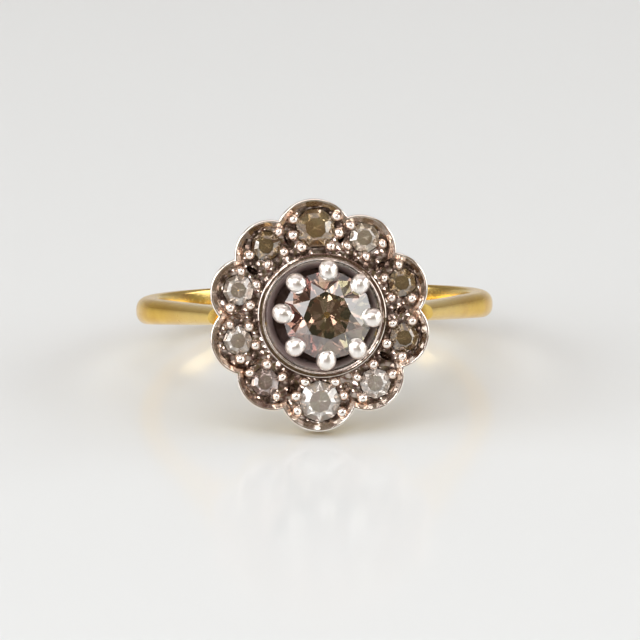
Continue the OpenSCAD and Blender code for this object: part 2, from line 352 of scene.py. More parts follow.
class Shader:
    """A material, or the room's light, under construction."""

    def __init__(self, owner: bpy.types.ID, ending: str = "ShaderNodeOutputMaterial") -> None:
        """Starts an empty node tree.

        Args:
            owner: The material or world.
            ending: Type of its output node.
        """
        owner.use_nodes = True
        self.owner = owner
        self.tree = owner.node_tree
        self.tree.nodes.clear()
        self.out = self.tree.nodes.new(ending)

    @classmethod
    def named(cls, name: str) -> "Shader":
        """Starts a new material.

        Args:
            name: Its name.

        Returns:
            Its shader.
        """
        return cls(bpy.data.materials.new(name))

    def node(self, kind: str, settings: dict, inputs: dict, output: int | str = 0) -> Value:
        """Adds one node.

        Args:
            kind: The node's type.
            settings: The node's own properties, set first.
            inputs: Socket names or numbers, with numbers, colours or values to link.
            output: The output that is returned.

        Returns:
            The chosen output.
        """
        made = self.tree.nodes.new(kind)
        for key, value in settings.items():
            if key == "stops":
                self.set_stops(made, value)
            else:
                setattr(made, key, value)
        for key, value in inputs.items():
            socket = made.inputs[key]
            if isinstance(value, Value):
                self.tree.links.new(value.socket, socket)
            else:
                socket.default_value = value
        return Value(self, made.outputs[output])

    @staticmethod
    def set_stops(ramp: bpy.types.Node, stops: list[tuple[float, tuple]]) -> None:
        """Gives a colour ramp its stops.

        Args:
            ramp: The ramp node.
            stops: Places from 0 to 1 with their colours.
        """
        elements = ramp.color_ramp.elements
        while len(elements) < len(stops):
            elements.new(0.5)
        for element, (place, colour) in zip(elements, stops):
            element.position = place
            element.color = colour

    def maths(self, operation: str, a: Value | float, b: Value | float) -> Value:
        """Adds a Math node.

        Args:
            operation: The node's operation.
            a: First number or value.
            b: Second number or value.

        Returns:
            The result.
        """
        return self.node("ShaderNodeMath", {"operation": operation}, {0: a, 1: b})

    def place(self) -> Value:
        """Object coordinates, in metres."""
        return self.node("ShaderNodeTexCoord", {}, {}, "Object")

    def along(self, direction: Vector, start: float) -> Value:
        """Distance of the surface along a direction, in millimetres.

        Args:
            direction: Unit vector in the laid ring's frame.
            start: Distance in millimetres that counts as zero.

        Returns:
            The distance from there.
        """
        settings = {"operation": "DOT_PRODUCT"}
        dot = self.node("ShaderNodeVectorMath", settings, {0: self.place(), 1: direction}, "Value")
        return dot * (1 / MM) - start

    def from_axis(self, origin: Vector, axis: Vector) -> Value:
        """Distance of the surface from a line, in millimetres.

        Args:
            origin: A point on the line, in metres.
            axis: The line's unit direction.

        Returns:
            The distance.
        """
        kind = "ShaderNodeVectorMath"
        offset = self.node(kind, {"operation": "SUBTRACT"}, {0: self.place(), 1: origin})
        across = self.node(kind, {"operation": "CROSS_PRODUCT"}, {0: offset, 1: axis})
        return self.node(kind, {"operation": "LENGTH"}, {0: across}, "Value") * (1 / MM)

    def facing(self, direction: Vector) -> Value:
        """How squarely the surface faces a direction, 1 at best.

        Args:
            direction: Unit vector in the laid ring's frame.

        Returns:
            The cosine of the angle between them.
        """
        normal = self.node("ShaderNodeTexCoord", {}, {}, "Normal")
        settings = {"operation": "DOT_PRODUCT"}
        return self.node("ShaderNodeVectorMath", settings, {0: normal, 1: direction}, "Value")

    def noise(self, per_mm: float, detail: float, roughness: float = 0.5) -> Value:
        """Noise in the piece's own place.

        Args:
            per_mm: Waves to a millimetre.
            detail: Octaves.
            roughness: Share of each finer octave.

        Returns:
            The noise, about 0 to 1.
        """
        inputs = {"Vector": self.place(), "Scale": per_mm / MM, "Detail": detail, "Roughness": roughness}
        return self.node("ShaderNodeTexNoise", {}, inputs, "Fac")

    def cells(self, per_mm: float) -> Value:
        """Distance from the middle of the nearest of many small round cells.

        Args:
            per_mm: Cells to a millimetre.

        Returns:
            The distance, 0 in a cell's middle and about 0.6 between cells.
        """
        inputs = {"Vector": self.place(), "Scale": per_mm / MM}
        return self.node("ShaderNodeTexVoronoi", {"feature": "F1"}, inputs, "Distance")

    def mix(self, factor: Value | float, first: Value | tuple, second: Value | tuple) -> Value:
        """Mixes two colours.

        Args:
            factor: Share of the second.
            first: Colour at 0.
            second: Colour at 1.

        Returns:
            The mixed colour.
        """
        return self.node("ShaderNodeMix", {"data_type": "RGBA"}, {0: factor, 6: first, 7: second}, 2)

    def bump(self, height: Value, depth_mm: float) -> Value:
        """Turns a height into a normal.

        Args:
            height: The height, 0 to 1.
            depth_mm: What 1 stands for, in millimetres.

        Returns:
            The normal.
        """
        inputs = {"Height": height, "Distance": depth_mm * MM, "Strength": 1.0}
        return self.node("ShaderNodeBump", {}, inputs)

    def surface(self, **inputs: Value | float | tuple) -> bpy.types.Material:
        """Ends the material with a Principled shader.

        Args:
            inputs: Socket names with spaces as underscores, and what goes in.

        Returns:
            The finished material.
        """
        named = {key.replace("_", " "): value for key, value in inputs.items()}
        shade = self.node("ShaderNodeBsdfPrincipled", {}, named)
        self.tree.links.new(shade.socket, self.out.inputs["Surface"])
        return self.owner


class Measure(Enum):
    """What a level of a finish is measured by, in millimetres."""

    UP = "height towards the head, from the finger's axis"
    OUT = "distance from the head's axis"
    ROUND = "distance from the finger's axis"


class MetalLook:
    """A metal surface under construction: what its finishes go by and what they change."""

    def __init__(self, metal: "PolishedMetal", sizes: RingSizes) -> None:
        """Starts with the plain polish.

        Args:
            metal: The metal's colours and polish.
            sizes: The ring's sizes, for its axes.
        """
        self.shader = Shader.named(metal.name)
        self.places = {Measure.OUT: sizes.head_place(), Measure.ROUND: sizes.ring_place()}
        head = self.places[Measure.OUT].translation
        self.axis = self.direction(Measure.OUT)
        self.height = self.shader.along(self.axis, head.dot(self.axis) / MM)
        self.marks = self.shader.noise(metal.marks_per_mm, 3.0, 0.6)
        drift = self.shader.noise(metal.drift_per_mm, 2.0).between(0.35, 0.7)
        self.colour = self.shader.mix(drift, metal.bright, metal.worn)
        self.rough = metal.roughness + metal.rough_spread * self.marks.between(0.45, 0.75)
        self.metallic: Value | float = 1.0
        self.waves = self.shader.noise(metal.waves_per_mm, 2.0) * metal.wave_share

    def direction(self, kind: Measure) -> Vector:
        """Direction of the head's or the finger's axis.

        Args:
            kind: OUT for the head's axis, or ROUND for the finger's.

        Returns:
            Its unit vector in the laid ring's frame.
        """
        return (self.places[kind].to_3x3() @ UPRIGHT).normalized()

    def measure(self, kind: Measure) -> Value:
        """Measures the surface in one way.

        Args:
            kind: Which measure.

        Returns:
            The distance, in millimetres.
        """
        if kind is Measure.UP:
            return self.height
        return self.shader.from_axis(self.places[kind].translation, self.direction(kind))

    def paint(self, share: Value, colour: Colour) -> None:
        """Mixes a colour in.

        Args:
            share: How much of it each point gets, from 0 to 1.
            colour: The colour.
        """
        self.colour = self.shader.mix(share, self.colour, colour)


@dataclass(frozen=True)
class Level:
    """Two places on a measure, from the first of which a finish grows to be full at the second."""

    measure: Measure
    start: float
    full: float

    def share(self, look: MetalLook) -> Value:
        """How much of the finish each point gets.

        Args:
            look: The metal.

        Returns:
            The share, from 0 to 1.
        """
        return look.measure(self.measure).between(self.start, self.full)


@dataclass(frozen=True)
class Area:
    """Part of a metal where all its levels hold."""

    levels: tuple[Level, ...]
    strength: float = 1.0

    def share(self, look: MetalLook) -> Value:
        """How much of the finish each point gets where all the levels hold.

        Args:
            look: The metal.

        Returns:
            The share, from 0 to the area's strength.
        """
        return math.prod((level.share(look) for level in self.levels), start=self.strength)


@dataclass(frozen=True)
class PartFinish:
    """A finish on some areas of a metal: its colour, and how rough and how dull it is."""

    areas: tuple[Area, ...]
    colour: Colour | None = None
    cover: float = 1.0
    roughening: float = 0.0
    dulling: float = 0.0
    streaked: bool = False

    def apply(self, look: MetalLook) -> None:
        """Lays the finish on.

        Args:
            look: The metal so far.
        """
        share = self.areas[0].share(look)
        for area in self.areas[1:]:
            share = look.shader.maths("MAXIMUM", share, area.share(look))
        if self.streaked:
            share = share * (0.55 + 0.45 * look.marks.between(0.35, 0.6))
        if self.colour:
            look.paint(share * self.cover, self.colour)
        if self.roughening:
            look.rough = look.rough + share * self.roughening
        if self.dulling:
            look.metallic = 1 - share * self.dulling


@dataclass(frozen=True)
class TarnishAndShade:
    """Dark tarnish and painted shade on the low ground, in patches and in the punched hollows between the
    grains.
    """

    level: Level
    colour: Colour
    cover: float = 0.93
    roughening: float = 0.15
    hollows_per_mm: float = 2.6
    hollow_depth: float = 2.2
    patches_per_mm: float = 1.6

    def apply(self, look: MetalLook) -> None:
        """Lays the film on.

        Args:
            look: The metal so far.
        """
        level_ground = look.shader.facing(look.axis).between(0.05, 0.35)
        low = self.level.share(look) * level_ground
        hollows = look.shader.cells(self.hollows_per_mm)
        patches = 0.35 + 0.65 * look.shader.noise(self.patches_per_mm, 1.0).between(0.36, 0.56)
        film = low * (0.25 + 0.75 * hollows.between(0.2, 0.5)) * patches * self.cover
        look.paint(film, self.colour)
        look.rough = look.rough + film * self.roughening
        look.waves = look.waves - hollows * low * self.hollow_depth


@dataclass(frozen=True)
class PolishedMetal:
    """Precious metal with the soft polish and fine marks of an old ring."""

    name: str
    bright: Colour
    worn: Colour
    roughness: float
    finishes: tuple[PartFinish | TarnishAndShade, ...]
    rough_spread: float = 0.12
    marks_per_mm: float = 7.0
    drift_per_mm: float = 0.9
    waves_per_mm: float = 1.7
    wave_share: float = 0.4
    wave_depth: float = 0.012

    def build(self, sizes: RingSizes) -> bpy.types.Material:
        """Makes the material.

        Args:
            sizes: The ring's sizes, for its axes.

        Returns:
            The material.
        """
        look = MetalLook(self, sizes)
        for finish in self.finishes:
            finish.apply(look)
        return look.shader.surface(
            Base_Color=look.colour, Metallic=look.metallic, Roughness=look.rough,
            Normal=look.shader.bump(look.waves, self.wave_depth),
        )


def yellow_gold(s: RingSizes) -> PolishedMetal:
    """Old gold, paler inside the band and towards the head, with painted shade on the back plate under the
    head and in the tube.

    Args:
        s: The ring's sizes.

    Returns:
        The metal.
    """
    inside = Area((Level(Measure.ROUND, s.finger_r + 0.12, s.finger_r + 0.04),), 0.7)
    near_head = Area((Level(Measure.UP, 4.0, 8.6),), 0.45)
    tube = s.gallery_d / 2
    # Painted shade: the back plate's face under the head and the tube's bore are painted dark brown.
    plate_painted_shade = Area((Level(Measure.OUT, 5.0, 4.94), Level(Measure.UP, s.back_z + 0.02, s.back_z + 0.2)))
    bore_painted_shade = Area((
        Level(Measure.OUT, tube - 0.1, tube - 0.2), Level(Measure.UP, s.finger_r - 0.2, s.back_z - 0.4),
    ))
    return PolishedMetal("gold", (0.90, 0.575, 0.06, 1.0), (0.80, 0.465, 0.04, 1.0), 0.18, (
        PartFinish((inside, near_head), (0.95, 0.75, 0.32, 1.0)),
        # Dark brown painted shade on the back plate under the head and in the tube.
        PartFinish((plate_painted_shade, bore_painted_shade), (0.1, 0.07, 0.035, 1.0), cover=0.9, roughening=0.3),
    ))


def old_platinum(s: RingSizes) -> PolishedMetal:
    """Platinum, near-white on its rims and tops from rubbing and a painted highlight, satin in the collar,
    dark between the grains from tarnish and painted shade, and painted nearly black on the web as shade.

    Args:
        s: The ring's sizes.

    Returns:
        The metal.
    """
    # Dark brown for tarnish and painted shade on the low floor, and for painted shade on the web.
    dark = (0.065, 0.034, 0.022, 1.0)
    # Everything above the rims' tops is near-white: rubbed bright metal and a painted highlight.
    rims = Area((Level(Measure.UP, s.rim_z - 0.1, s.rim_z),))
    throat = Area((Level(Measure.OUT, 2.95, 2.91), Level(Measure.UP, s.collar_z - 0.08, s.collar_z - 0.3)))
    lip = Area((
        Level(Measure.OUT, 2.8, 2.85), Level(Measure.OUT, 3.35, 3.3),
        Level(Measure.UP, s.collar_z + 0.05, s.collar_z),
    ))
    claws = Area((Level(Measure.UP, s.collar_z - 0.05, s.collar_z + 0.15),))
    # Painted shade: the web deep inside the collar is painted nearly black.
    web = Area((Level(Measure.OUT, 2.6, 2.54), Level(Measure.UP, s.web_z + 0.3, s.web_z + 0.02)))
    return PolishedMetal("platinum", (0.84, 0.73, 0.65, 1.0), (0.66, 0.52, 0.43, 1.0), 0.08, (
        # Near-white rubbed metal with a painted highlight on the rims, grain tops, collar and claws.
        PartFinish((rims,), (0.98, 0.935, 0.89, 1.0)),
        PartFinish((throat,), (0.50, 0.40, 0.39, 1.0), roughening=0.3, dulling=0.75),
        PartFinish((lip,), (0.54, 0.46, 0.41, 1.0), streaked=True),
        PartFinish((claws,), roughening=0.2),
        # Tarnish and painted shade darken the petals' floor between the stones and grains.
        TarnishAndShade(Level(Measure.UP, s.floor_z + 0.14, s.floor_z - 0.02), dark),
        # Painted shade on the web, nearly black.
        PartFinish((web,), dark, cover=0.9, roughening=0.3),
    ), wave_depth=0.04)


class Tint(Enum):
    """Colours of the old stones, partly their own tint and partly painted shade and reflection, each with
    the darker colour that it drifts to.
    """

    BRIGHT = ((1.0, 0.955, 0.90, 1.0), (0.86, 0.78, 0.70, 1.0))
    CLEAR = ((0.90, 0.84, 0.76, 1.0), (0.70, 0.60, 0.50, 1.0))
    DULL = ((0.78, 0.69, 0.55, 1.0), (0.56, 0.46, 0.34, 1.0))
    OLIVE = ((0.63, 0.49, 0.28, 1.0), (0.43, 0.28, 0.13, 1.0))
    BROWN = ((0.40, 0.28, 0.14, 1.0), (0.23, 0.145, 0.07, 1.0))
    ROSE = ((0.66, 0.54, 0.50, 1.0), (0.44, 0.32, 0.29, 1.0))
    # The centre stone's dark red-brown drift colour is a painted reflection.
    CENTRE = ((0.36, 0.325, 0.20, 1.0), (0.24, 0.095, 0.08, 1.0))


@dataclass(frozen=True)
class CutDiamond:
    """Old stone whose colour drifts a little, in clouds, or from its right to a darker left that is a
    painted reflection.
    """

    tint: Tint
    clouds_per_mm: float = 0.8
    # Where the darker left side, a painted reflection, begins along X in millimetres; None for clouds.
    painted_side_at: float | None = None
    clear: float = 1.0
    ior: float = 2.42

    def build(self) -> bpy.types.Material:
        """Makes the material.

        Returns:
            The material.
        """
        shader = Shader.named(f"{self.tint.name.lower()}_diamond")
        body, drift = self.tint.value
        if self.painted_side_at is None:
            share = shader.noise(self.clouds_per_mm, 1.0).between(0.42, 0.58)
        else:
            # Painted reflection: the stone turns to its darker colour towards its left.
            share = shader.along(Vector((1, 0, 0)), self.painted_side_at).between(0.5, -0.7)
        colour = shader.mix(share, body, drift)
        return shader.surface(
            Base_Color=colour, Roughness=0.0, IOR=self.ior, Transmission_Weight=self.clear,
        )


@dataclass(frozen=True)
class StudioSurface:
    """Pale glossy table."""

    name: str = "pale_table"
    colour: Colour = (0.815, 0.86, 0.87, 1.0)
    roughness: float = 0.14
    ior: float = 1.3

    def build(self) -> bpy.types.Material:
        """Makes the material."""
        shader = Shader.named(self.name)
        return shader.surface(Base_Color=self.colour, Roughness=self.roughness, IOR=self.ior)


@dataclass(frozen=True)
class DimRoom:
    """The unlit room behind the camera, in a few dull colours that the polished metal mirrors."""

    rose: Colour = (0.19, 0.10, 0.09, 1.0)
    olive: Colour = (0.20, 0.175, 0.10, 1.0)
    pale: Colour = (0.50, 0.46, 0.45, 1.0)

    def build(self) -> bpy.types.World:
        """Makes the room.

        Returns:
            The world that lights and surrounds the scene.
        """
        world = bpy.data.worlds.new("room")
        shader = Shader(world, "ShaderNodeOutputWorld")
        way = shader.node("ShaderNodeTexCoord", {}, {}, "Generated")
        drift, patches = (
            shader.node("ShaderNodeTexNoise", {}, {"Vector": way, "Scale": scale, "Detail": detail}, "Fac")
            for scale, detail in ((1.7, 1.0), (4.5, 2.0))
        )
        dull = shader.mix(drift.between(0.42, 0.58), self.rose, self.olive)
        colour = shader.mix(patches.between(0.52, 0.68), dull, self.pale)
        light = shader.node("ShaderNodeBackground", {}, {"Color": colour, "Strength": 1.0})
        shader.tree.links.new(light.socket, shader.out.inputs["Surface"])
        return world


# Modelling


class Shape:
    """A mesh under construction: the table in metres, all else in millimetres in the head's frame."""

    def __init__(self) -> None:
        """Starts an empty mesh."""
        self.bm = bmesh.new()

    def loop(self, points: list[Vector]) -> Verts:
        """Adds a closed loop of edges.

        Args:
            points: Its corners, in order.

        Returns:
            Its vertices, in order.
        """
        verts = bmesh.ops.create_circle(self.bm, segments=len(points), radius=1.0)["verts"]
        for vert, point in zip(verts, points):
            vert.co = point
        return verts

    def edges_of(self, verts: Verts) -> list[bmesh.types.BMEdge]:
        """Edges of a closed loop of vertices.

        Args:
            verts: The loop's vertices, in order.

        Returns:
            The edges between neighbours.
        """
        pairs = zip(verts, verts[1:] + verts[:1])
        return [self.bm.edges.get(pair) for pair in pairs]

    def carry(self, verts: Verts, points: list[Vector]) -> Verts:
        """Extrudes a loop and moves the new one to its points.

        Args:
            verts: The loop's vertices, in order.
            points: Where each goes.

        Returns:
            The new loop's vertices, in the same order.
        """
        made = bmesh.ops.extrude_edge_only(self.bm, edges=self.edges_of(verts))["geom"]
        new = {item for item in made if isinstance(item, bmesh.types.BMVert)}
        twins = []
        for vert, point in zip(verts, points):
            twin = next(edge.other_vert(vert) for edge in vert.link_edges if edge.other_vert(vert) in new)
            twin.co = point
            twins.append(twin)
        return twins

    def loft(self, loops: list[list[Vector]]) -> tuple[Verts, Verts]:
        """Carries one closed loop through several others.

        Args:
            loops: The loops' points, each in the same order.

        Returns:
            The vertices of the first and of the last loop.
        """
        first = verts = self.loop(loops[0])
        for points in loops[1:]:
            verts = self.carry(verts, points)
        return first, verts

    def fill(self, loops: list[Verts], up: float) -> None:
        """Fills a flat face between loops, the first round the others.

        Args:
            loops: Each loop's vertices.
            up: 1 if the face looks along +Z, or -1.
        """
        edges = [edge for verts in loops for edge in self.edges_of(verts)]
        bmesh.ops.triangle_fill(
            self.bm, use_beauty=True, use_dissolve=False, edges=edges, normal=(0, 0, up),
        )

    def turned(self, profile: Profile, steps: int, frame: Matrix) -> Verts:
        """Spins a profile a full turn about the upright axis.

        Args:
            profile: Radius and height of each corner.
            steps: Steps round.
            frame: Turns and places the finished shape.

        Returns:
            The shape's vertices.
        """
        made = Shape()
        verts = [made.bm.verts.new((radius, 0, height)) for radius, height in profile]
        edges = [made.bm.edges.new(pair) for pair in zip(verts, verts[1:])]
        bmesh.ops.spin(
            made.bm, geom=verts + edges, cent=(0, 0, 0), axis=(0, 0, 1),
            angle=math.tau, steps=steps, use_merge=True,
        )
        bmesh.ops.remove_doubles(made.bm, verts=made.bm.verts, dist=WELD_GAP)
        bmesh.ops.recalc_face_normals(made.bm, faces=made.bm.faces)
        bmesh.ops.transform(made.bm, matrix=frame, verts=made.bm.verts)
        return self.take(made)

    def take(self, other: "Shape") -> Verts:
        """Moves another shape's mesh into this one.

        Args:
            other: The shape, which is used up.

        Returns:
            The new vertices.
        """
        mesh = bpy.data.meshes.new("taken")
        other.bm.to_mesh(mesh)
        other.bm.free()
        before = len(self.bm.verts)
        self.bm.from_mesh(mesh)
        bpy.data.meshes.remove(mesh)
        self.bm.verts.ensure_lookup_table()
        return self.bm.verts[before:]

    def finish(
        self, name: str, place: Matrix, material: bpy.types.Material, sharp: float = 35.0,
    ) -> bpy.types.Object:
        """Makes the object, at the origin.

        Args:
            name: Its name.
            place: Matrix that takes the shape to the laid ring, in metres.
            material: Its finish.
            sharp: Angle in degrees past which an edge stays crisp.

        Returns:
            The object.
        """
        bmesh.ops.transform(self.bm, matrix=place, verts=self.bm.verts)
        for face in self.bm.faces:
            face.smooth = True
        for edge in self.bm.edges:
            if len(edge.link_faces) == 2 and edge.calc_face_angle() > math.radians(sharp):
                edge.smooth = False
        mesh = bpy.data.meshes.new(name)
        self.bm.to_mesh(mesh)
        self.bm.free()
        mesh.materials.append(material)
        piece = bpy.data.objects.new(name, mesh)
        bpy.context.scene.collection.objects.link(piece)
        return piece


def circle(
    centre: Vector, radius: float, height: float, steps: int, along: float = 1.0, turn: float = 0.0,
) -> list[Vector]:
    """Points of a level circle or oval.

    Args:
        centre: Its centre.
        radius: Its radius across.
        height: Its level.
        steps: Number of points.
        along: Its length as a share of its width, along the turned X axis.
        turn: Turn of that axis, in degrees.

    Returns:
        The points, anticlockwise.
    """
    spin = Matrix.Rotation(math.radians(turn), 3, "Z")
    points = []
    for step in range(steps):
        angle = math.tau * step / steps
        flat = spin @ Vector((radius * along * math.cos(angle), radius * math.sin(angle), 0))
        points.append(Vector((centre.x + flat.x, centre.y + flat.y, height)))
    return points


@dataclass(frozen=True)
class RoundCut:
    """Proportions of an old round stone, and how true it is cut.

    The table, the culet and the heights are shares of its diameter. star is how far up the crown
    its stars begin, and lower_half how far down the pavilion its halves reach, both as shares.
    unbroken_angle and turn_error are in degrees.
    """

    diameter: float
    table: float = 0.55
    crown: float = 0.16
    girdle: float = 0.03
    pavilion: float = 0.43
    culet: float = 0.07
    star: float = 0.55
    lower_half: float = 0.7
    unbroken_angle: float = 0.6
    round_steps: int = 48
    turn_error: float = 2.0
    reach_error: float = 0.03

    @property
    def radius(self) -> float:
        """Radius of the girdle."""
        return self.diameter / 2

    def crown_height(self, distance: float) -> float:
        """Height of the stone's upper half.

        Args:
            distance: Distance from the stone's axis.

        Returns:
            The height there above the girdle's middle.
        """
        run = max(0.0, min(1.0, (self.radius - distance) / (self.radius * (1 - self.table))))
        return self.diameter * (self.girdle / 2 + self.crown * run)

    def pavilion_radius(self, depth: float) -> float:
        """Radius of the stone's lower half.

        Args:
            depth: Depth below the girdle's middle.

        Returns:
            The radius there.
        """
        below = max(0.0, depth - self.diameter * self.girdle / 2)
        slope = self.radius * (1 - self.culet) / (self.pavilion * self.diameter)
        return max(0.0, self.radius - below * slope)

    def build(self, shape: Shape, centre: Vector, turn: float, chance: random.Random) -> None:
        """Cuts the stone: table, stars, mains, halves and a small culet, a little uneven.

        Args:
            shape: The mesh that takes it.
            centre: Middle of its girdle.
            turn: Turn about its axis, in degrees.
            chance: Where the unevenness comes from.
        """
        half = 180 / 8
        top = self.girdle * self.diameter / 2
        crown, pavilion = self.crown * self.diameter, self.pavilion * self.diameter
        reach = math.cos(math.radians(half))
        star, lower = self.star, self.lower_half
        rings = [
            (8, self.radius * self.table, top + crown, 0.0, 0.03),
            (8, self.radius * (1 - star * (1 - self.table)) / reach, top + star * crown, half, 0.012),
            (16, self.radius, top, 0.0, 0.0), (16, self.radius, -top, 0.0, 0.0),
            (8, self.radius * (1 - lower * (1 - self.culet)) / reach, -top - lower * pavilion, half, 0.01),
            (8, self.radius * self.culet / reach, -top - pavilion, half, 0.01),
        ]
        made = []
        for count, radius, height, start, uneven in rings:
            place = Matrix.Translation(centre) @ Matrix.Rotation(math.radians(turn + start), 4, "Z")
            ring = bmesh.ops.create_circle(shape.bm, segments=count, radius=radius)["verts"]
            for vert in ring:
                slip = Vector((chance.uniform(-1, 1), chance.uniform(-1, 1), 0)) * uneven * self.radius
                vert.co = place @ (vert.co + slip + Vector((0, 0, height)))
            made += ring
        loose = list({edge for vert in made for edge in vert.link_edges})
        bmesh.ops.delete(shape.bm, geom=loose, context="EDGES_FACES")
        bmesh.ops.convex_hull(shape.bm, input=made)
        edges = list({edge for vert in made if vert.is_valid for edge in vert.link_edges})
        limit = math.radians(self.unbroken_angle)
        bmesh.ops.dissolve_limit(shape.bm, angle_limit=limit, verts=[], edges=edges)

    def build_eight(self, shape: Shape, centre: Vector, turn: float, chance: random.Random) -> None:
        """Cuts a small stone the short way: table, eight facets above, eight below and a culet.

        Args:
            shape: The mesh that takes it.
            centre: Middle of its girdle.
            turn: Turn about its axis, in degrees.
            chance: Where the unevenness comes from.
        """
        top = self.girdle * self.diameter / 2
        crown, pavilion = self.crown * self.diameter, self.pavilion * self.diameter
        reach = self.radius * math.cos(math.radians(180 / 8))
        made = Shape()
        middle = Matrix.Translation((0, 0, (crown - pavilion) / 2))
        bmesh.ops.create_cone(
            made.bm, cap_ends=True, segments=self.round_steps, matrix=middle,
            radius1=self.radius, radius2=self.radius, depth=2 * top + crown + pavilion,
        )
        for up, rise, flat_share in ((1, crown, self.table), (-1, pavilion, self.culet)):
            lean = math.atan2(rise, reach * (1 - flat_share))
            for side in range(8):
                slip = chance.uniform(-self.turn_error, self.turn_error)
                way = math.radians(turn + side * 360 / 8 + slip)
                flat = Vector((math.cos(way), math.sin(way), 0))
                normal = flat * math.sin(lean) + Vector((0, 0, up * math.cos(lean)))
                share = chance.uniform(1 - self.reach_error, 1.0)
                point = flat * reach * share + Vector((0, 0, up * top))
                cut = bmesh.ops.bisect_plane(
                    made.bm, geom=made.bm.verts[:] + made.bm.edges[:] + made.bm.faces[:], dist=HAIR,
                    plane_co=point, plane_no=normal, clear_outer=True,
                )
                edges = [item for item in cut["geom_cut"] if isinstance(item, bmesh.types.BMEdge)]
                bmesh.ops.edgeloop_fill(made.bm, edges=edges)
        bmesh.ops.transform(made.bm, matrix=Matrix.Translation(centre), verts=made.bm.verts)
        shape.take(made)

    def press(self, verts: Verts, centre: Vector, gap: float) -> None:
        """Pushes metal that stands in the stone's room out to its surface.

        Args:
            verts: The metal's vertices.
            centre: Middle of the stone's girdle.
            gap: Clearance that is left.
        """
        for vert in verts:
            flat = Vector((vert.co.x - centre.x, vert.co.y - centre.y, 0))
            height = vert.co.z - centre.z
            distance = flat.length
            if distance > self.radius + gap or distance < HAIR:
                continue
            if height >= 0:
                vert.co.z = max(vert.co.z, centre.z + self.crown_height(distance) + gap)
            else:
                edge = self.pavilion_radius(-height) + gap
                if distance < edge:
                    vert.co.x = centre.x + flat.x * edge / distance
                    vert.co.y = centre.y + flat.y * edge / distance


# The ring


